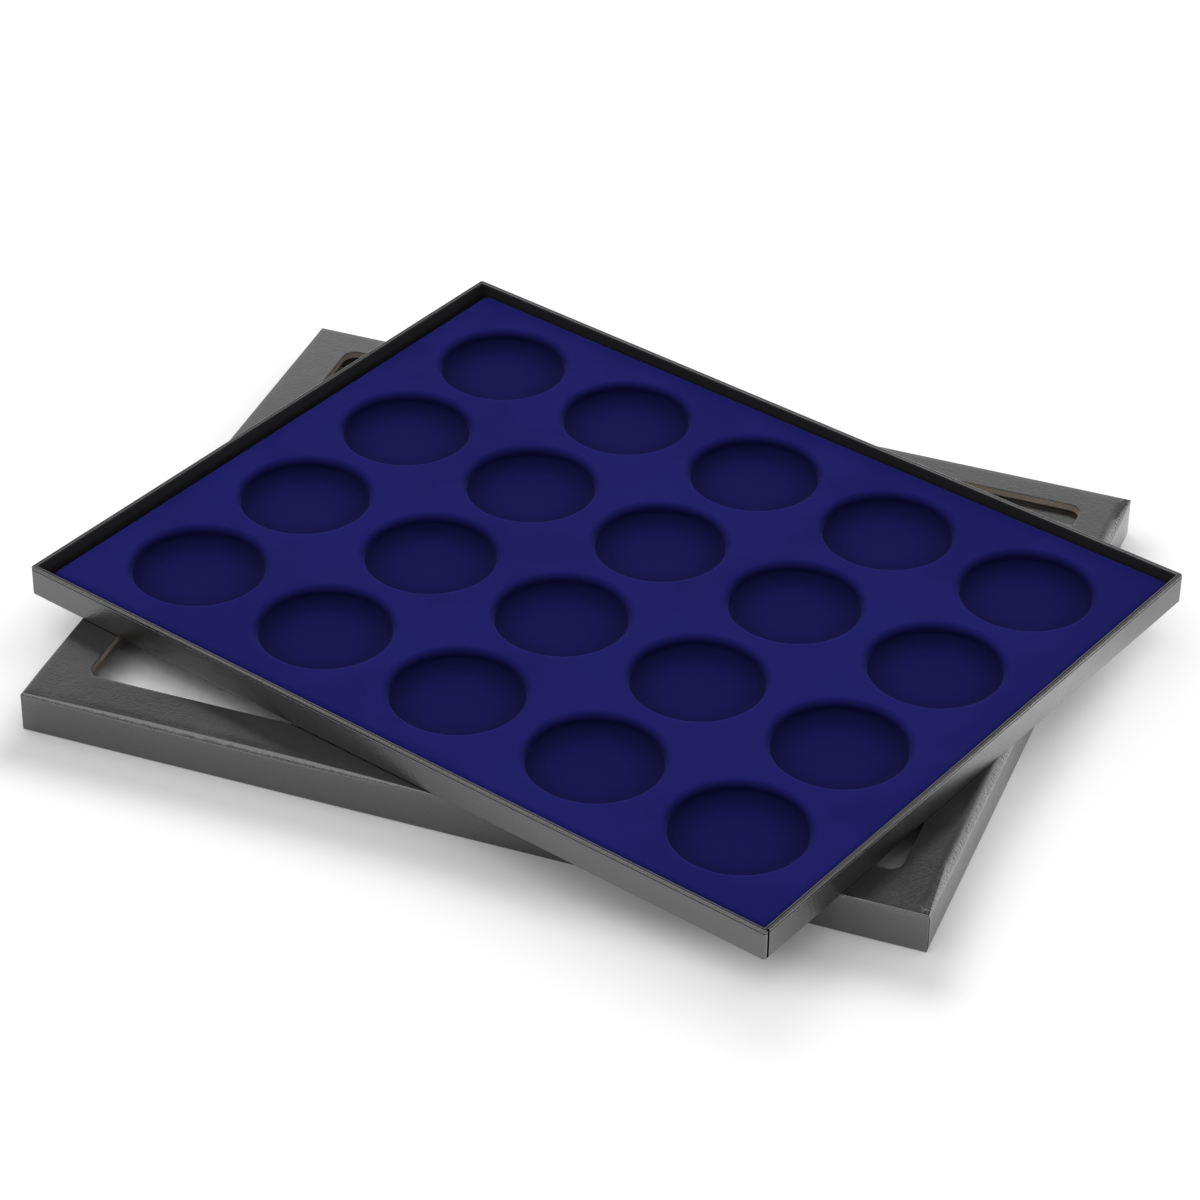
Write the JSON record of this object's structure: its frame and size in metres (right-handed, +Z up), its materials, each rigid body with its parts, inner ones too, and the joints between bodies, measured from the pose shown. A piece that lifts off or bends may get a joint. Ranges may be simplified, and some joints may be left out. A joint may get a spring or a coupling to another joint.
{
  "type": "coin display case",
  "caption": "Shallow two-part coin case: a windowed box lid with a matching tray lying askew on it, and a loose flocked insert with round recesses.",
  "frame": {"origin": "on the table, under the middle of the tray, which is the middle of the whole outline", "axes": "+X along the lid's long side, +Y along its short side away from the front, +Z up out of the window"},
  "size_m": [0.3602, 0.3178, 0.0257],
  "materials": {
    "greyboard": "bare grey-brown board",
    "cover_paper": "satin black paper embossed with a fine leather grain",
    "stay_tape": "matt gummed paper tape",
    "adhesive_tape": "thin double-sided tape",
    "clear_film": "clear glossy plastic film",
    "lining_paper": "plain matt black paper",
    "formed_plastic": "thin formed plastic sheet",
    "blue_flock": "short deep blue flock"
  },
  "bodies": {
    "lid": {"lid_top_board": "greyboard", "lid_front_board": "greyboard", "lid_back_board": "greyboard", "lid_left_board": "greyboard", "lid_right_board": "greyboard", "lid_stay_front_left": "stay_tape", "lid_stay_front_right": "stay_tape", "lid_stay_back_left": "stay_tape", "lid_stay_back_right": "stay_tape", "lid_cover_paper": "cover_paper", "window_pane": "clear_film", "pane_tape_front": "adhesive_tape", "pane_tape_back": "adhesive_tape", "pane_tape_left": "adhesive_tape", "pane_tape_right": "adhesive_tape", "lid_lining_frame": "lining_paper"},
    "tray": {"tray_floor_board": "greyboard", "tray_front_board": "greyboard", "tray_back_board": "greyboard", "tray_left_board": "greyboard", "tray_right_board": "greyboard", "tray_stay_front_left": "stay_tape", "tray_stay_front_right": "stay_tape", "tray_stay_back_left": "stay_tape", "tray_stay_back_right": "stay_tape", "tray_cover_paper": "cover_paper", "tray_floor_lining": "lining_paper"},
    "insert": {"insert_shell": "formed_plastic", "insert_flock": "blue_flock"}
  },
  "joints": [
    {"name": "tray_lift", "type": "slide", "parent": "lid", "child": "tray", "axis": [0, 0, 1], "range_m": [0, 0.06]},
    {"name": "insert_lift", "type": "slide", "parent": "tray", "child": "insert", "axis": [0, 0, 1], "range_m": [0, 0.04]}
  ]
}
